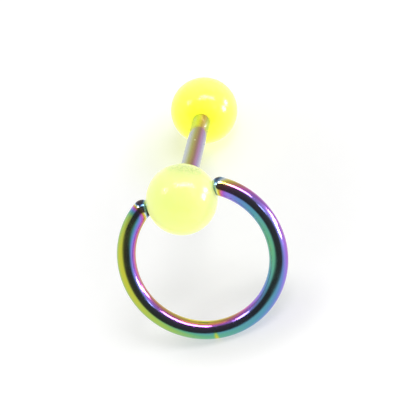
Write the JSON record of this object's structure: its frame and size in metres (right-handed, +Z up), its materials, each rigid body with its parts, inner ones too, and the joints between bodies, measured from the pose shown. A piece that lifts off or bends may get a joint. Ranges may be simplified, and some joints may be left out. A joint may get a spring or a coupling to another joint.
{
  "type": "door knocker tongue barbell",
  "caption": "Straight rainbow-finish tongue barbell with glossy neon balls and a captive knocker ring that swings from the front ball.",
  "frame": {"origin": "middle of the outline's base, on the surface that the knocker ring's rim and the back ball stand on", "axes": "+X along the line that the ring swings about, +Y back along the barbell towards the back ball, +Z up"},
  "size_m": [0.0144, 0.0282, 0.0139],
  "materials": {
    "rainbow_steel": "polished",
    "pale_neon_acrylic": "gloss",
    "neon_yellow_acrylic": "gloss"
  },
  "bodies": {
    "barbell": {"post": "rainbow_steel", "front_ball": "pale_neon_acrylic", "back_ball": "neon_yellow_acrylic"},
    "ring": {"knocker_ring": "rainbow_steel"}
  },
  "joints": [
    {"name": "ring_swing", "type": "hinge", "parent": "barbell", "child": "ring", "pos_m": [0, -0.00735, 0.01091], "axis": [1, 0, 0], "range_deg": [-254.4, 89]}
  ]
}
